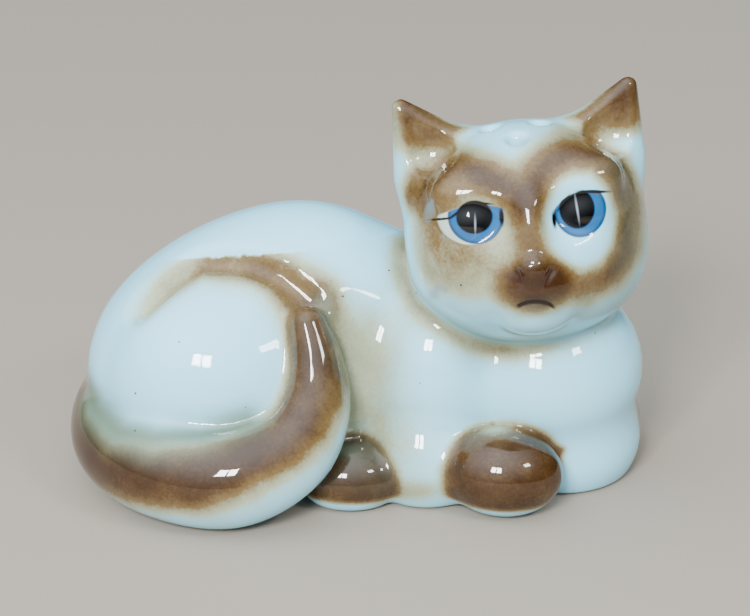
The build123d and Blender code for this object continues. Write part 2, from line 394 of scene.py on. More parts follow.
def cat_distance(points):
    """How far each point is outside the whole cat, as its glazed surface lies."""
    form = masses_distance(points, TORSO)
    form = carved(form, line_distance(points, THIGH_BAND) - THIGH_GROOVE_RADIUS, THIGH_GROOVE_SOFTNESS)
    form = blended(form, tail_distance(points), TAIL_SOFTNESS)
    for limb in (FORE_PAW, FOREARM, HIND_PAW, FAR_PAW):
        form = blended(form, ball_distance(points, limb), limb.softness)
    head = only_near(points, HEAD_CENTRE, HEAD_REACH, lambda close: head_distance(to_head(close)))
    form = blended(form, head, HEAD_SOFTNESS)
    return -blended(-form, points[..., 2], GROUND_EDGE)


def chamber_distance(points):
    """How far each point is outside the torso's chamber."""
    hollow = masses_distance(points, CHAMBER, -WALL)
    head_room = masses_distance(to_head(points), HEAD_CHAMBER, WALL)
    hollow = carved(hollow, head_room, 1.0)
    return -blended(-hollow, points[..., 2] - CHAMBER_FLOOR, 1.0)


def slope(distance, points, here, step=0.01):
    """The direction in which the distance grows from what it is here, at each point, over a step in mm."""
    rise = [distance(points + offset) - here for offset in np.eye(3) * step]
    direction = np.stack(rise, axis=-1)
    return direction / np.maximum(np.linalg.norm(direction, axis=-1, keepdims=True), 1e-9)


# ---------------------------------------------------------------------------------------------------------------
# Blender helpers
# ---------------------------------------------------------------------------------------------------------------


def in_frame(point):
    """A place in the design frame, in metres in the part's frame."""
    return ORIGIN + Vector(point) * MM


def select_only(*objects):
    """Deselect everything, then select these, the last one active."""
    bpy.ops.object.select_all(action="DESELECT")
    for obj in objects:
        obj.select_set(True)
    bpy.context.view_layer.objects.active = objects[-1]


def mesh_points(obj):
    """The vertices of a mesh in the design frame, in millimetres."""
    flat = np.empty(len(obj.data.vertices) * 3)
    obj.data.vertices.foreach_get("co", flat)
    return (flat.reshape(-1, 3) - np.array(ORIGIN)) / MM


def set_mesh_points(obj, points):
    """Put the vertices of a mesh at places in the design frame."""
    obj.data.vertices.foreach_set("co", (points * MM + np.array(ORIGIN)).ravel())
    obj.data.update()


def add_ball(mass, grow=0.0, place=in_frame, turn=(0, 0, 0)):
    """A ball stretched to a mass's radii, where the mass is."""
    rotation = Euler([math.radians(angle) for angle in turn]).to_matrix()
    rotation = rotation @ Euler([math.radians(angle) for angle in mass.turn]).to_matrix()
    bpy.ops.mesh.primitive_ico_sphere_add(
        subdivisions=3,
        radius=MM,
        location=place(mass.centre),
        rotation=rotation.to_euler(),
        scale=[radius + grow for radius in mass.radii],
    )
    return bpy.context.object


def add_cylinder(place, radius, bottom, top):
    """An upright cylinder between two heights."""
    bpy.ops.mesh.primitive_cylinder_add(
        vertices=64,
        radius=radius * MM,
        depth=(top - bottom) * MM,
        location=in_frame((*place, (bottom + top) / 2)),
    )
    return bpy.context.object


def fused(parts, name, voxel):
    """Several closed lumps pressed into one closed skin, with faces about a voxel across."""
    select_only(*parts)
    if len(parts) > 1:
        bpy.ops.object.join()
    obj = bpy.context.object
    obj.name = obj.data.name = name
    bpy.ops.object.transform_apply(location=True, rotation=True, scale=True)
    remesh(obj, voxel)
    return obj


def remesh(obj, voxel):
    """Give a closed mesh a fresh, even skin."""
    select_only(obj)
    obj.data.remesh_voxel_size = voxel * MM
    obj.data.remesh_voxel_adaptivity = 0
    bpy.ops.object.voxel_remesh()


def pressed_onto(obj, distance, passes=3):
    """Move the skin along its slope until it lies on a form."""
    points = mesh_points(obj)
    for _ in range(passes):
        here = distance(points)
        points -= slope(distance, points, here) * np.clip(here, -1, 1)[:, None]
    set_mesh_points(obj, points)


def cut(obj, tool, operation="DIFFERENCE", keep_tool=False):
    """Cut a mesh with a tool, or keep what is inside the tool."""
    modifier = obj.modifiers.new("cut", "BOOLEAN")
    modifier.operation = operation
    modifier.solver = "MANIFOLD"
    modifier.object = tool
    select_only(obj)
    bpy.ops.object.modifier_apply(modifier=modifier.name)
    if not keep_tool:
        bpy.data.meshes.remove(tool.data)


def duplicate(obj, name):
    """A copy with its own mesh."""
    select_only(obj)
    bpy.ops.object.duplicate()
    copy = bpy.context.object
    copy.name = copy.data.name = name
    return copy


# ---------------------------------------------------------------------------------------------------------------
# The clay
# ---------------------------------------------------------------------------------------------------------------


def head_place(point):
    """A place in the head's own axes, in metres in the part's frame."""
    return in_frame(from_head(point))


def head_balls(masses, grow=0.0):
    """Balls for masses of the head."""
    return [add_ball(mass, grow, head_place, HEAD_TURN) for mass in masses]


def ear_balls(side):
    """Balls along one ear, flattened as the ear is."""
    balls = []
    root, tip = Vector(EAR.root), Vector(EAR.tip)
    for place in np.linspace(0, 1, 9):
        centre = root.lerp(tip, place)
        radius = EAR.root_radius + (EAR.tip_radius - EAR.root_radius) * place
        balls.append(Mass((side * centre.x, centre.y, centre.z), (radius, radius * EAR_THICKNESS, radius)))
    return head_balls(balls)


def tail_balls(grow=0.0):
    """Balls along the tail."""
    return [add_ball(Mass(stop[:3], (stop[3] + grow,) * 3)) for stop in TAIL_PATH[:: TAIL_STEPS // 4]]


def block_tool(middle):
    """A block that fills all the space above or below a level, by the height of its middle."""
    bpy.ops.mesh.primitive_cube_add(size=BLOCK * MM, location=in_frame((0, 0, middle)))
    return bpy.context.object


def drill(low, high, radius, vertices):
    """A round tool between two places of the head's axes."""
    bottom, top = from_head(low), from_head(high)
    along = top - bottom
    bpy.ops.mesh.primitive_cylinder_add(
        vertices=vertices,
        radius=radius * MM,
        depth=along.length * MM,
        location=in_frame((bottom + top) / 2),
        rotation=along.to_track_quat("Z", "Y").to_euler(),
    )
    return bpy.context.object


def rough_cat(voxel):
    """The whole cat roughed out in balls and fused."""
    limbs = [add_ball(mass) for mass in (*TORSO, *FORELEG, HIND_PAW, FAR_PAW)]
    head = head_balls((*HEAD, *BROWS))
    ears = ear_balls(-1) + ear_balls(1)
    return fused(limbs + head + ears + tail_balls(), "cat", voxel)


def model_clay(skin):
    """The cat in one piece: pressed into shape, trimmed flat below, hollowed and drilled."""
    cat = rough_cat(ROUGH_SKIN)
    cut(cat, block_tool(-BLOCK / 2))
    for x, y in POUR_HOLES:
        cut(cat, drill((x, y, POUR_HOLE_BOTTOM), (x, y, POUR_HOLE_TOP), POUR_HOLE_RADIUS, 48))
    remesh(cat, EVEN_SKIN)
    pressed_onto(cat, cat_distance)
    remesh(cat, skin)
    pressed_onto(cat, cat_distance)
    chamber = fused([add_ball(mass, -WALL) for mass in CHAMBER], "chamber", CHAMBER_SKIN)
    pressed_onto(chamber, chamber_distance)
    cut(cat, chamber)
    head_chamber = fused(head_balls(HEAD_CHAMBER, -WALL), "head_chamber", CHAMBER_SKIN)
    pressed_onto(head_chamber, lambda points: masses_distance(to_head(points), HEAD_CHAMBER, -WALL))
    cut(cat, head_chamber)
    cut(cat, add_cylinder(*NECK_PASSAGE))
    cut(cat, add_cylinder(FILL_HOLE[:2], FILL_HOLE_RADIUS, -1, CHAMBER_FLOOR + 2))
    recess = fused([add_ball(mass) for mass in FOOT_RECESS], "recess", TOOL_SKIN)
    cut(recess, block_tool(BLOCK / 2 + FOOT_RECESS_DEPTH))
    cut(cat, recess)
    return cat


def casting_tools():
    """A tool for each casting but the torso, a little larger than the casting, in the order they are cut off."""
    head = head_balls((*HEAD, *BROWS), HEAD_JOINT_GAP) + head_balls([OVER_HEAD])
    yield "head_shell", fused(head, "tool", EVEN_SKIN)
    for name, balls in (
        ("tail", tail_balls(JOINT_GAP)),
        ("foreleg_right", [add_ball(mass, JOINT_GAP) for mass in FORELEG]),
        ("hind_paw_right", [add_ball(HIND_PAW, JOINT_GAP)]),
        ("forepaw_left", [add_ball(FAR_PAW, JOINT_GAP)]),
    ):
        tool = fused(balls, "tool", TOOL_SKIN)
        cut(tool, fused([add_ball(mass, -JOINT_GAP) for mass in TORSO], "core", CORE_SKIN))
        yield name, tool


def ear_tool(side):
    """A block round one ear, whose foot lies square to the ear across its joint."""
    root, tip = (Vector((side * end[0], *end[1:])) for end in (EAR.root, EAR.tip))
    return drill(root.lerp(tip, EAR_JOINT), root.lerp(tip, EAR_BLOCK_TOP), EAR_BLOCK_RADIUS, 64)


def split_castings(cat):
    """Cut the cat into its castings, which meet face to face, and name them after the nodes they stand for."""
    castings = {}
    for name, tool in casting_tools():
        castings[name] = duplicate(cat, name)
        cut(castings[name], tool, "INTERSECT", keep_tool=True)
        cut(cat, tool)
    for name, side in (("ear_left", 1), ("ear_right", -1)):
        tool = ear_tool(side)
        castings[name] = duplicate(castings["head_shell"], name)
        cut(castings[name], tool, "INTERSECT", keep_tool=True)
        cut(castings["head_shell"], tool)
    cat.name = cat.data.name = "torso_shell"
    castings["torso_shell"] = cat
    return castings


def smooth_glaze(obj):
    """Give the glazed skin the normals of the form it lies on, so that the joints between castings don't show."""
    mesh = obj.data
    select_only(obj)
    bpy.ops.object.shade_smooth_by_angle(angle=math.radians(35))
    points = mesh_points(obj)
    gap = cat_distance(points)
    on_skin = np.abs(gap) < SKIN_GAP
    normals = slope(cat_distance, points, gap, NORMAL_STEP)
    corner_vertices = np.empty(len(mesh.loops), int)
    mesh.loops.foreach_get("vertex_index", corner_vertices)
    face_normals = np.empty(len(mesh.polygons) * 3)
    mesh.polygons.foreach_get("normal", face_normals)
    face_normals = face_normals.reshape(-1, 3)
    sizes = np.empty(len(mesh.polygons), int)
    mesh.polygons.foreach_get("loop_total", sizes)
    face_of_corner = np.repeat(np.arange(len(sizes)), sizes)
    corner_normals = normals[corner_vertices]
    facing = (corner_normals * face_normals[face_of_corner]).sum(1) > 0.1
    starts = np.concatenate([[0], np.cumsum(sizes)[:-1]])
    face_on_skin = np.logical_and.reduceat(on_skin[corner_vertices], starts)
    given = np.where((face_on_skin[face_of_corner] & facing)[:, None], corner_normals, 0.0)
    mesh.normals_split_custom_set(given)


# ---------------------------------------------------------------------------------------------------------------
# Airbrushed colour and painted shade, held on the mesh: red is brown pigment, green is how dark it is, blue is
# pooled glaze and painted shade
# ---------------------------------------------------------------------------------------------------------------


def spray(distance, reach, edge=2.0):
    """The density of a spray at a distance from its line, which falls off over its reach."""
    return np.exp(-np.maximum(distance / reach, 0) ** edge)


def over(base, coat):
    """One coat of pigment over another, neither one past full."""
    return 1 - (1 - base) * (1 - np.clip(coat, 0, 1))


def spray_body(points):
    """Pigment, darkness, and glaze pooling with painted shade, on the torso, tail and paws."""
    x, z = points[:, 0], points[:, 2]
    head_gap = np.maximum(only_near(points, HEAD_CENTRE, HEAD_REACH, lambda near: head_distance(to_head(near))), 0)
    tail_gap = tail_distance(points)
    on_tail = spray(np.maximum(tail_gap, 0), 0.9)

    # The thigh is edged with a band that thickens towards the tail's tip
    band = line_distance(points, THIGH_BAND)
    brown = 0.74 * spray(band, 2.5) * np.clip((x + 29) / 14, 0, 1)
    thigh_end = np.linalg.norm(points - np.array(THIGH_BAND[-1]), axis=1)
    brown = over(brown, 0.5 * spray(thigh_end, 3.4))

    # The tail is brown on top and outside, darkest at its turn on the left, and pale along its foot
    stripe = line_distance(points, TAIL_STRIPE)
    brown = over(brown, 0.92 * spray(stripe, 3.7, 3.5) * on_tail)
    brown = over(brown, 0.16 * spray(stripe, 6.0, 4.0) * on_tail)
    dark = 0.8 * spray(np.linalg.norm(points - np.array(TAIL_DARK_END), axis=1), 5.2) * on_tail
    dark = over(dark, 0.3 * spray(stripe, 2.2) * on_tail)

    # Brown along the creases, which behind the tail's tip, down the flank and under the head is partly painted shade
    # Painted shade in brown and dark brown in the crease behind the tail's tip
    crease = line_distance(points, TAIL_BACK_CREASE)
    brown = over(brown, 0.55 * spray(crease, 1.7))
    dark = over(dark, 0.35 * spray(line_distance(points, TAIL_BACK_CREASE[2:]), 1.5))
    # Painted shade in brown down the flank's valley beside the tail
    brown = over(brown, 0.24 * spray(line_distance(points, FLANK_SHADE), 4.2))
    arm_crease = line_distance(points, ARM_CREASE)
    brown = over(brown, 0.5 * spray(arm_crease, 0.6))
    dark = over(dark, 0.25 * spray(arm_crease, 0.5))
    # Painted shade in brown on the neck under the head, fading towards the front of the chest
    brown = over(brown, 0.58 * spray(head_gap, 1.9) * np.clip((27 - x) / 10, 0.12, 1))

    # The paws are dipped in brown down to their pale soles
    for limb, sole, full in ((HIND_PAW, 1.3, 0.95), (FORE_PAW, 1.5, 0.92)):
        near = spray(np.maximum(ball_distance(points, limb), 0), 0.75)
        above_sole = np.clip((z - sole) / 1.0, 0, 1)
        brown = over(brown, full * near * above_sole)
        dark = over(dark, 0.42 * near * np.clip((z - sole) / 4, 0, 1))
    knuckles = spray(np.linalg.norm(points - np.array(PALE_KNUCKLES), axis=1), 3.0)
    brown *= 1 - 0.75 * knuckles
    dark *= 1 - 0.9 * knuckles
    # Painted shade in brown along the foot between the hind paw and the foreleg
    brown = over(brown, 0.30 * spray(line_distance(points, SOLE_SHADE), 1.6))
    # Painted shade in brown on the far forepaw, under the chest
    brown = over(brown, 0.28 * spray(np.maximum(ball_distance(points, FAR_PAW), 0), 1.4))

    # Pooled glaze, deepened into painted shade: in the tail's hollow and back crease, under the head, on flank and
    # far forepaw
    hollow = line_distance(points, TAIL_HOLLOW)
    pooled_and_shade = 1.0 * spray(hollow, 2.1)
    pooled_and_shade = over(pooled_and_shade, 0.5 * spray(crease, 1.5))
    pooled_and_shade = over(pooled_and_shade, 0.45 * spray(head_gap, 1.5))
    pooled_and_shade = over(pooled_and_shade, 0.22 * spray(line_distance(points, FLANK_SHADE), 5.0))
    pooled_and_shade = over(pooled_and_shade, 0.4 * spray(np.maximum(ball_distance(points, FAR_PAW), 0), 1.2))
    brown *= 1 - 0.75 * spray(hollow, 1.5)
    return brown, dark, pooled_and_shade


def spray_head(points):
    """Pigment, darkness, and green-grey glaze with painted shade, on the head and ears, in the head's axes."""
    x, y, z = points.T
    front = np.clip((-3 - y) / 3, 0, 1)
    seen = points[:, ::2]
    brown = 0.85 * spray(line_distance(seen, BROW_BAND), 2.0) * np.clip((1.5 - y) / 4, 0, 1)
    for centre, radii, strength in CHEEK_PATCHES:
        patch = np.hypot((x - centre[0]) / radii[0], (z - centre[1]) / radii[1])
        brown = over(brown, strength * spray(patch, 1.0, 3.0) * front)
    brown = over(brown, 0.75 * spray(line_distance(seen, BRIDGE_BAND), 2.3) * front)
    (circle_x, circle_z), (circle_width, circle_height) = EYE_CIRCLE
    circle = np.hypot((x - circle_x) / circle_width, (z - circle_z) / circle_height)
    brown *= 1 - 0.97 * spray(circle, 1.0, 7.0) * front
    muzzle = np.hypot((x + 0.4) / 4.5, (z + 4.3) / 3.0)
    brown = over(brown, 0.92 * spray(muzzle, 1.0, 5.0) * front)
    dark = 0.4 * spray(muzzle, 0.85, 4.0) * front
    dark = over(dark, 0.2 * spray(line_distance(seen, BRIDGE_BAND), 1.6) * front)
    for side in (-1, 1):
        ear = spray(np.maximum(ear_distance(points, side), 0), 0.8)
        facing = np.clip((0.6 - y) / 1.2, 0, 1)
        brown = over(brown, 0.66 * ear * facing * np.clip((z - 9.0) / 2.6, 0, 1))
        tip = np.linalg.norm(points - np.array(EAR.tip) * (side, 1, 1), axis=1)
        brown = over(brown, 0.5 * spray(tip, 3.2))
        dark = over(dark, (0.6 if side > 0 else 0.3) * spray(tip, 3.0) * facing)
        rim = np.clip((x * side - 12.4) / 1.2, 0, 1)
        brown *= 1 - (0.6 if side < 0 else 0.2) * rim * ear
    # Painted shade in the green-grey glaze colour under the mouth, under the jaw and on the left cheek's side
    pooled_and_shade = 0.35 * spray(np.maximum(mouth_distance(points) - 1, 0), 1.2) * np.clip((-6.9 - z) / 0.6, 0, 1) * front
    pooled_and_shade = over(pooled_and_shade, 0.42 * np.clip((-5.0 - z) / 4, 0, 1))
    pooled_and_shade = over(pooled_and_shade, 0.28 * np.clip((x - 7) / 4, 0, 1) * front)
    return np.clip(brown, 0, 1), dark, pooled_and_shade


def spray_colour(obj):
    """Hold the sprayed coats and the painted shade on a casting as a colour attribute. The head's run into the
    body's at the neck.
    """
    points = mesh_points(obj)
    head_gap = only_near(points, HEAD_CENTRE, HEAD_REACH, lambda close: masses_distance(to_head(close), HEAD))
    body_gap = masses_distance(points, TORSO)
    on_head = np.clip(0.5 + (body_gap - head_gap) / 1.6, 0, 1)
    on_head[to_head(points)[:, 2] > 0] = 1
    coats = np.array(spray_head(to_head(points))) * on_head + np.array(spray_body(points)) * (1 - on_head)
    layer = obj.data.color_attributes.new("airbrush_and_shade", "FLOAT_COLOR", "POINT")
    layer.data.foreach_set("color", np.stack([*coats, np.ones(len(points))], axis=1).ravel())


# ---------------------------------------------------------------------------------------------------------------
# Materials
# ---------------------------------------------------------------------------------------------------------------


def linear(hex_colour):
    """A colour given as sRGB hex, as linear RGBA."""
    parts = [int(hex_colour[i : i + 2], 16) / 255 for i in (1, 3, 5)]
    return (*[c / 12.92 if c <= 0.04045 else ((c + 0.055) / 1.055) ** 2.4 for c in parts], 1.0)


def add_node(tree, kind, settings=(), **inputs):
    """Add a node, with its settings, and set or link each input, whose name has _ for a space or is its number."""
    node = tree.nodes.new(kind)
    for name, value in dict(settings).items():
        setattr(node, name, value)
    for name, value in inputs.items():
        socket = node.inputs[int(name[1:])] if name[0] == "_" else node.inputs[name.replace("_", " ")]
        if isinstance(value, bpy.types.NodeSocket):
            tree.links.new(value, socket)
        else:
            socket.default_value = value
    return node


def new_material(name):
    """An empty node material."""
    material = bpy.data.materials.new(name)
    material.use_nodes = True
    material.node_tree.nodes.clear()
    return material


def mixed(tree, factor, below, above):
    """One colour painted over another."""
    node = add_node(tree, "ShaderNodeMix", {"data_type": "RGBA", "clamp_factor": True})
    for index, value in ((0, factor), (6, below), (7, above)):
        if isinstance(value, bpy.types.NodeSocket):
            tree.links.new(value, node.inputs[index])
        else:
            node.inputs[index].default_value = value
    return node.outputs[2]


def sum_of(tree, operation, first, second):
    """Two values put together by a math operation."""
    settings = {"operation": operation, "use_clamp": True}
    return add_node(tree, "ShaderNodeMath", settings, _0=first, _1=second).outputs[0]


def oval(tree, face, centre, radii, tilt=0.0, edge=0.12):
    """How much of a brushed oval covers each place on the face: 1 inside, 0 outside, soft over its edge in mm."""
    placed = add_node(
        tree,
        "ShaderNodeMapping",
        {"vector_type": "TEXTURE"},
        Vector=face,
        Location=(centre[0], 0, centre[1]),
        Rotation=(0, math.radians(tilt), 0),
        Scale=(radii[0], 1, radii[1]),
    ).outputs[0]
    flat = add_node(tree, "ShaderNodeVectorMath", {"operation": "MULTIPLY"}, _0=placed, _1=(1, 0, 1)).outputs[0]
    reach = add_node(tree, "ShaderNodeVectorMath", {"operation": "LENGTH"}, _0=flat).outputs[1]
    softness = edge / min(radii)
    cover = {"From_Min": 1 + softness, "From_Max": 1 - softness}
    settings = {"interpolation_type": "SMOOTHSTEP"}
    return add_node(tree, "ShaderNodeMapRange", settings, Value=reach, **cover).outputs[0]


def glazed_earthenware(name, with_face, colours):
    """White slip-cast earthenware, sprayed with brown under a clear, faintly green lead-type glaze.

    The glaze gives a hard mirror-like coat over a soft, slightly waxy white, goes green where it pools, and lets
    fine dark kiln specks and the grain of the spray show through. The same green-grey is painted in as shade.
    """
    material = new_material(name)
    tree = material.node_tree
    place = add_node(tree, "ShaderNodeTexCoord").outputs["Object"]
    coats = add_node(tree, "ShaderNodeAttribute", {"attribute_name": "airbrush_and_shade"}).outputs["Color"]
    coat = add_node(tree, "ShaderNodeSeparateColor", Color=coats)
    # Droplets of the spray are 0.2 to 0.4 mm across
    grain = add_node(tree, "ShaderNodeTexNoise", Vector=place, Scale=2600.0, Detail=3.0, Roughness=0.7).outputs[0]
    cloud = add_node(tree, "ShaderNodeTexNoise", Vector=place, Scale=190.0, Detail=4.0, Roughness=0.6).outputs[0]
    uneven = add_node(tree, "ShaderNodeMapRange", Value=cloud, From_Min=0.3, From_Max=0.7, To_Min=0.72, To_Max=1.2)
    grainy = add_node(tree, "ShaderNodeMapRange", Value=grain, From_Min=0.3, From_Max=0.7, To_Min=0.86, To_Max=1.1)
    texture = add_node(
        tree, "ShaderNodeMath", {"operation": "MULTIPLY"}, _0=uneven.outputs[0], _1=grainy.outputs[0]
    ).outputs[0]
    brown = sum_of(tree, "MULTIPLY", coat.outputs[0], texture)
    ramp = add_node(tree, "ShaderNodeValToRGB", Fac=brown)
    stops = (
        (0.0, colours.glaze_tint),
        (0.22, colours.brown_mist),
        (0.5, colours.brown_thin),
        (0.8, colours.brown_full),
        (1.0, colours.brown_thick),
    )
    while len(ramp.color_ramp.elements) < len(stops):
        ramp.color_ramp.elements.new(0.5)
    for element, (position, colour) in zip(ramp.color_ramp.elements, stops):
        element.position, element.color = position, colour
    colour = mixed(tree, coat.outputs[1], ramp.outputs[0], colours.brown_dark)
    # The green-grey of pooled glaze, also laid in as painted shade in the creases and under the head
    colour = mixed(tree, coat.outputs[2], colour, colours.pooled_glaze_and_shade)
    # Kiln specks, 0.3 mm across, of which a square centimetre has one or none
    cells = add_node(tree, "ShaderNodeTexVoronoi", Vector=place, Scale=260.0, Randomness=1.0).outputs["Distance"]
    rare = add_node(tree, "ShaderNodeMapRange", Value=cells, From_Min=0.045, From_Max=0.025).outputs[0]
    colour = mixed(tree, rare, colour, linear(KILN_SPECK))
    if with_face:
        colour = paint_face(tree, place, colour, colours)
    # The glaze lies in long, very shallow waves
    waves = add_node(tree, "ShaderNodeTexNoise", Vector=place, Scale=95.0, Detail=1.0).outputs[0]
    ripple = add_node(tree, "ShaderNodeBump", Strength=0.25, Distance=0.0006, Height=waves).outputs[0]
    shader = add_node(
        tree,
        "ShaderNodeBsdfPrincipled",
        Base_Color=colour,
        Roughness=0.5,
        Specular_IOR_Level=0.0,
        Subsurface_Weight=0.12,
        Subsurface_Radius=(1.0, 0.9, 0.8),
        Subsurface_Scale=0.0012,
        Coat_Weight=1.0,
        Coat_Roughness=0.035,
        Coat_IOR=1.52,
        Coat_Normal=ripple,
    )
    add_node(tree, "ShaderNodeOutputMaterial", Surface=shader.outputs[0])
    return material


KILN_SPECK, CORK_PORE = "#2A3A34", "#4E3420"
EYE_WHITE, IRIS_RIM, PUPIL_SLIT, BRUSH_BLACK = "#B9C8BC", "#10355A", "#A9B4C2", "#030304"
MOUTH_BLACK, NOSTRIL_BROWN, CHEEK_GREY = "#140806", "#2C140A", "#7E8C90"

# What the brush leaves of an eye. Each oval is a centre, two radii, a tilt in degrees and a soft edge in mm. Each
# stroke is black where all its ovals overlap
Eye = namedtuple("Eye", "white iris under_lid strokes slit")
RIGHT_EYE = Eye(
    white=((-6.95, 3.35), (3.35, 2.75), 4),
    iris=((-6.2, 3.6), (3.05, 3.0)),
    under_lid=((-6.2, 0.1), (6.5, 4.75), 2),
    strokes=(
        (((-6.35, 3.6), (2.0, 1.85), 0),),
        (((-8.0, 4.3), (1.3, 0.16), -32, 0.08),),
        (((-5.2, 5.0), (1.0, 0.14), 10, 0.08),),
        (((-10.0, 3.5), (1.3, 0.15), -10, 0.07),),
        (((-3.4, 3.3), (0.24, 0.9), 0),),
    ),
    slit=((-6.35, 2.8), (0.07, 0.6), 4),
)
LEFT_EYE = Eye(
    white=((5.5, 2.6), (2.2, 2.2)),
    iris=((5.3, 3.2), (2.95, 2.95)),
    under_lid=((6.6, 0.9), (5.2, 4.35), 4),
    strokes=(
        (((4.95, 3.4), (1.95, 2.2), 0), ((6.6, 0.9), (5.3, 4.5), 4)),
        (((7.0, 5.05), (1.8, 0.19), 8, 0.08),),
        (((3.5, 4.2), (1.1, 0.16), -48, 0.08),),
        (((2.3, 2.5), (0.26, 0.9), 0),),
    ),
    slit=((4.95, 3.4), (0.08, 0.95), -4),
)


# The oval that holds the mouth's brushed line, how far the line spreads outwards and inwards from the groove, and
# the ovals of the nostrils' strokes and of the faint marks on one cheek
MOUTH_LINE = ((MOUTH_MIDDLE[0] + 0.3, MOUTH_MIDDLE[1] + 3.1), (MOUTH_HALF_WIDTH, 0.95), 12)
MOUTH_OUTER, MOUTH_INNER = 0.28, -0.2
NOSTRIL_STROKES = (((-2.15, -3.2), (0.3, 1.05), -26, 0.25), ((0.75, -3.5), (0.3, 1.05), 34, 0.25))
CHEEK_MARKS = (
    ((-11.4, -5.3), (0.55, 0.8), 20, 0.4),
    ((-10.2, -4.5), (0.4, 0.5), 20, 0.4),
    ((-10.9, -4.3), (0.35, 0.4), 20, 0.4),
)
IRIS_RIM_WIDTH, IRIS_SOFTNESS = 0.25, 0.3


def paint_face(tree, place, colour, colours):
    """Brush the eyes, nostrils, mouth and whisker marks over the sprayed colour."""
    face = add_node(
        tree,
        "ShaderNodeMapping",
        {"vector_type": "TEXTURE"},
        Vector=place,
        Location=in_frame(HEAD_CENTRE),
        Rotation=[math.radians(angle) for angle in HEAD_TURN],
        Scale=(MM, MM, MM),
    ).outputs[0]
    depth = add_node(tree, "ShaderNodeSeparateXYZ", Vector=face).outputs[1]
    front = add_node(tree, "ShaderNodeMapRange", Value=depth, From_Min=-3.5, From_Max=-4.5).outputs[0]

    def brush(colour, paint, *ovals, strength=1.0):
        """Brush a paint where every one of several ovals covers the face."""
        cover = front
        for centre, radii, *rest in ovals:
            cover = sum_of(tree, "MULTIPLY", cover, oval(tree, face, centre, radii, *rest))
        cover = sum_of(tree, "MULTIPLY", cover, strength)
        return mixed(tree, cover, colour, paint)

    for eye in (RIGHT_EYE, LEFT_EYE):
        colour = brush(colour, linear(EYE_WHITE), eye.white, eye.under_lid)
        colour = brush(colour, linear(IRIS_RIM), eye.iris, eye.under_lid)
        centre, radii = eye.iris
        inside = (centre, [radius - IRIS_RIM_WIDTH for radius in radii], 0, IRIS_SOFTNESS)
        colour = brush(colour, colours.iris, inside, eye.under_lid)
        for stroke in eye.strokes:
            colour = brush(colour, linear(BRUSH_BLACK), *stroke)
        colour = brush(colour, linear(PUPIL_SLIT), eye.slit, strength=0.75)
    with_mouth = brush(
        colour, linear(MOUTH_BLACK), (MOUTH_MIDDLE, (MOUTH_RADIUS + MOUTH_OUTER,) * 2), MOUTH_LINE
    )
    inner = oval(tree, face, MOUTH_MIDDLE, (MOUTH_RADIUS + MOUTH_INNER,) * 2)
    colour = mixed(tree, sum_of(tree, "MULTIPLY", front, inner), with_mouth, colour)
    for stroke in NOSTRIL_STROKES:
        colour = brush(colour, linear(NOSTRIL_BROWN), stroke, strength=0.95)
    for mark in CHEEK_MARKS:
        colour = brush(colour, linear(CHEEK_GREY), mark, strength=0.55)
    return colour


def natural_cork(colours):
    """Natural cork, punched from bark: warm tan, dull, with darker pores and streaks that show on its ends."""
    material = new_material("natural_cork")
    tree = material.node_tree
    place = add_node(tree, "ShaderNodeTexCoord").outputs["Object"]
    # Cork cells lie in bands about a millimetre apart
    bands = add_node(tree, "ShaderNodeTexNoise", Vector=place, Scale=700.0, Detail=5.0, Roughness=0.65).outputs[0]
    ramp = add_node(tree, "ShaderNodeValToRGB", Fac=bands)
    dark_band, light_band = ramp.color_ramp.elements
    dark_band.position, dark_band.color = 0.32, colours.cork_dark
    light_band.position, light_band.color = 0.68, colours.cork_light
    pores = add_node(tree, "ShaderNodeTexVoronoi", Vector=place, Scale=620.0).outputs["Distance"]
    pit = add_node(tree, "ShaderNodeMapRange", Value=pores, From_Min=0.26, From_Max=0.14).outputs[0]
    colour = mixed(tree, pit, ramp.outputs[0], linear(CORK_PORE))
    bump = add_node(tree, "ShaderNodeBump", Strength=0.5, Distance=0.0002, Height=bands).outputs[0]
    shader = add_node(tree, "ShaderNodeBsdfPrincipled", Base_Color=colour, Roughness=0.85, Normal=bump)
    add_node(tree, "ShaderNodeOutputMaterial", Surface=shader.outputs[0])
    return material


def matt_floor(colours):
    """Matt painted board under the object: pale and even, so that the glaze is what shines."""
    material = new_material("matt_painted_board")
    tree = material.node_tree
    place = add_node(tree, "ShaderNodeTexCoord").outputs["Object"]
    tooth = add_node(tree, "ShaderNodeTexNoise", Vector=place, Scale=900.0, Detail=2.0).outputs[0]
    bump = add_node(tree, "ShaderNodeBump", Strength=0.05, Distance=0.0002, Height=tooth).outputs[0]
    shader = add_node(
        tree, "ShaderNodeBsdfPrincipled", Base_Color=tuple(colours.floor), Roughness=0.8, Normal=bump
    )
    add_node(tree, "ShaderNodeOutputMaterial", Surface=shader.outputs[0])
    return material


# ---------------------------------------------------------------------------------------------------------------
# Add-on
# ---------------------------------------------------------------------------------------------------------------


def colour_property(name, description, hex_colour):
    """A colour that a user may change."""
    return FloatVectorProperty(
        name=name,
        description=description,
        default=linear(hex_colour),
        size=4,
        min=0.0,
        max=1.0,
        subtype="COLOR",
    )


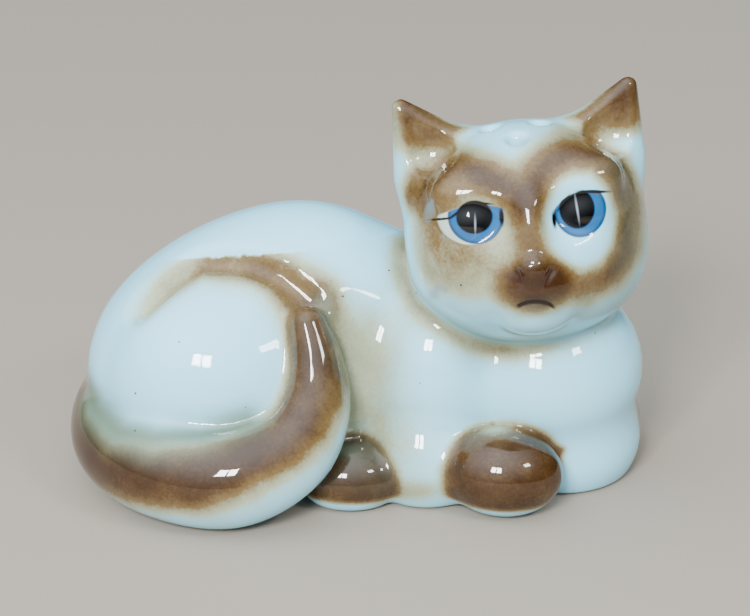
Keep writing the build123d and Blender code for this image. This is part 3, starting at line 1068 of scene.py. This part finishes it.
class CatClayProperties(bpy.types.PropertyGroup):
    """The fineness of the clay's skin and the colours of the glaze, the paint, the cork and the floor."""

    skin_mm: FloatProperty(
        name="Skin", description="Size of the faces that the clay's skin is made of, in mm", default=0.34, min=0.1
    )
    glaze_tint: colour_property("Glaze", "White clay under clear glaze, with no paint", "#97DBF1")
    # This green-grey also paints shade into the creases and under the head
    pooled_glaze_and_shade: colour_property("Pooled glaze", "Glaze where it gathers in creases", "#5F7362")
    brown_mist: colour_property("Brown mist", "The edge of the sprayed brown", "#9BA387")
    brown_thin: colour_property("Thin brown", "Half a coat of sprayed brown", "#6B5735")
    brown_full: colour_property("Full brown", "A full coat of sprayed brown", "#49341A")
    brown_thick: colour_property("Thick brown", "More than one coat of sprayed brown", "#372410")
    brown_dark: colour_property("Dark brown", "The darker brown sprayed over it", "#2C150A")
    iris: colour_property("Iris", "The brushed blue of the eyes", "#1D5A8C")
    cork_light: colour_property("Cork", "The light bands of the cork", "#CFA271")
    cork_dark: colour_property("Cork bands", "The dark bands of the cork", "#8A5F38")
    floor: colour_property("Floor", "The board under the object", "#958B7F")


ON_HEAD = ("head_shell", "ear_left", "ear_right")


class OBJECT_OT_cat_castings(bpy.types.Operator):
    """Model the cat in clay, cut it into its castings and glaze them"""

    bl_idname = "object.cat_castings"
    bl_label = "Glazed castings"

    def execute(self, context):
        clay = context.scene.cat_clay
        castings = split_castings(model_clay(clay.skin_mm))
        glaze = glazed_earthenware("glazed_earthenware", False, clay)
        face_glaze = glazed_earthenware("glazed_earthenware_face", True, clay)
        for name, casting in castings.items():
            spray_colour(casting)
            smooth_glaze(casting)
            casting.data.materials.clear()
            casting.data.materials.append(face_glaze if name in ON_HEAD else glaze)
            casting.name = casting.data.name = f"{name}_glazed"
            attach(casting, "figurine")
            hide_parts(name)
        return {"FINISHED"}


class OBJECT_OT_cat_cork(bpy.types.Operator):
    """Turn the cork that stops the filling hole"""

    bl_idname = "object.cat_cork"
    bl_label = "Cork"

    def execute(self, context):
        height = CORK_HIGH.z - CORK_LOW.z
        radius = (CORK_HIGH.x - CORK_LOW.x) / 2
        bpy.ops.object.select_all(action="DESELECT")
        bpy.ops.mesh.primitive_cone_add(
            vertices=96,
            radius1=radius,
            radius2=radius - height * CORK_TAPER,
            depth=height,
            location=(CORK_MIDDLE.x, CORK_MIDDLE.y, CORK_MIDDLE.z),
        )
        cork = context.object
        cork.name = cork.data.name = "cork_stopper"
        bpy.ops.object.transform_apply(location=True, rotation=True, scale=True)
        edge = cork.modifiers.new("edge", "BEVEL")
        edge.width, edge.segments, edge.limit_method = CORK_EDGE * MM, 3, "ANGLE"
        bpy.ops.object.modifier_apply(modifier=edge.name)
        bpy.ops.object.shade_smooth_by_angle(angle=math.radians(35))
        cork.data.materials.append(natural_cork(context.scene.cat_clay))
        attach(cork, "stopper_body")
        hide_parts("stopper")
        return {"FINISHED"}


class OBJECT_OT_cat_stage(bpy.types.Operator):
    """Set up the floor, the soft studio light and the camera"""

    bl_idname = "object.cat_stage"
    bl_label = "Stage"

    def execute(self, context):
        bpy.ops.object.select_all(action="DESELECT")
        bpy.ops.mesh.primitive_plane_add(size=6.0)
        floor = context.object
        floor.name = "floor"
        floor.data.materials.append(matt_floor(context.scene.cat_clay))
        floor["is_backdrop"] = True
        context.scene.world = overcast_sky()
        for name, azimuth, elevation, distance, size, watts in LIGHTS:
            add_softbox(name, azimuth, elevation, distance, size, watts)
        add_camera(context.scene)
        return {"FINISHED"}


# Each softbox: its name, where it stands in degrees from the front and above the floor, how far away in metres,
# its width and height in metres, and its power in watts
LIGHTS = (
    ("window_left_pane", -20.4, 31, 0.6, (0.07, 0.13), 3.0),
    ("window_right_pane", -11.0, 31, 0.6, (0.07, 0.13), 3.0),
    ("side_window", 46, 40, 0.7, (0.13, 0.08), 1.5),
)
CAMERA_TARGET = Vector((2.3, 0.0, 19.7))
CAMERA_ELEVATION = 22.0
CAMERA_DISTANCE = 300.0
CAMERA_LENS = 123.1
SENSOR = 36.0


# The sky's colour, its strength where it is darkest and brightest, how closely the light gathers round its
# brightest place, and where that place is
SKY_HEX, SKY_LOW, SKY_HIGH, SKY_GATHER = "#E2ECF4", 0.03, 4.6, 2.4
SKY_ZENITH = (-0.25, -0.36, 0.9)


def overcast_sky():
    """A world that brightens smoothly from the horizon to the zenith, as a diffusing ceiling does."""
    world = bpy.data.worlds.new("studio")
    world.use_nodes = True
    tree = world.node_tree
    tree.nodes.clear()
    bearing = add_node(tree, "ShaderNodeTexCoord").outputs["Generated"]
    toward = add_node(tree, "ShaderNodeVectorMath", {"operation": "DOT_PRODUCT"}, _0=bearing, _1=SKY_ZENITH)
    height = toward.outputs[1]
    rise = sum_of(tree, "POWER", height, SKY_GATHER)
    above = add_node(tree, "ShaderNodeMath", {"operation": "GREATER_THAN"}, _0=height, _1=0.0).outputs[0]
    upper = sum_of(tree, "MULTIPLY", rise, above)
    strength = add_node(tree, "ShaderNodeMapRange", Value=upper, To_Min=SKY_LOW, To_Max=SKY_HIGH).outputs[0]
    light = add_node(tree, "ShaderNodeBackground", Color=linear(SKY_HEX), Strength=strength)
    add_node(tree, "ShaderNodeOutputWorld", Surface=light.outputs[0])
    return world


def round_target(azimuth, elevation, distance):
    """A place round the camera's target, by its bearing from the front and its height, at a distance in mm."""
    bearing, height = math.radians(azimuth), math.radians(elevation)
    away = Vector((math.sin(bearing) * math.cos(height), -math.cos(bearing) * math.cos(height), math.sin(height)))
    return CAMERA_TARGET + away * distance, away


def add_softbox(name, azimuth, elevation, distance, size, watts):
    """A rectangular softbox that faces the object."""
    place, away = round_target(azimuth, elevation, distance / MM)
    bpy.ops.object.light_add(type="AREA", location=in_frame(place), rotation=away.to_track_quat("Z", "Y").to_euler())
    lamp = bpy.context.object
    lamp.name = name
    lamp.data.shape = "RECTANGLE"
    lamp.data.size, lamp.data.size_y = size
    lamp.data.energy = watts


def add_camera(scene):
    """The camera, in front of the object and above it."""
    place, away = round_target(0, CAMERA_ELEVATION, CAMERA_DISTANCE)
    bpy.ops.object.camera_add(location=in_frame(place), rotation=away.to_track_quat("Z", "Y").to_euler())
    camera = bpy.context.object
    camera.data.lens, camera.data.sensor_width = CAMERA_LENS, SENSOR
    camera.data.clip_start, camera.data.clip_end = 0.01, 20.0
    scene.camera = camera


class VIEW3D_PT_cat_shaker(bpy.types.Panel):
    """Lists the settings and the pieces of the shaker"""

    bl_idname = "VIEW3D_PT_cat_shaker"
    bl_label = "Cat Shaker"
    bl_space_type = "VIEW_3D"
    bl_region_type = "UI"
    bl_category = "Cat Shaker"

    def draw(self, context):
        layout = self.layout
        for setting in CatClayProperties.__annotations__:
            layout.prop(context.scene.cat_clay, setting)
        for operator in OPERATORS:
            layout.operator(operator.bl_idname)


OPERATORS = (OBJECT_OT_cat_castings, OBJECT_OT_cat_cork, OBJECT_OT_cat_stage)
CLASSES = (CatClayProperties, *OPERATORS, VIEW3D_PT_cat_shaker)


def register():
    for cls in CLASSES:
        bpy.utils.register_class(cls)
    bpy.types.Scene.cat_clay = PointerProperty(type=CatClayProperties)


def unregister():
    del bpy.types.Scene.cat_clay
    for cls in reversed(CLASSES):
        bpy.utils.unregister_class(cls)


def main():
    register()
    bpy.ops.object.cat_castings()
    bpy.ops.object.cat_cork()
    bpy.ops.object.cat_stage()
    [[list(corner) for corner in box] for box in (CAD_BOX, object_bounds())]


if __name__ == "__main__":
    main()
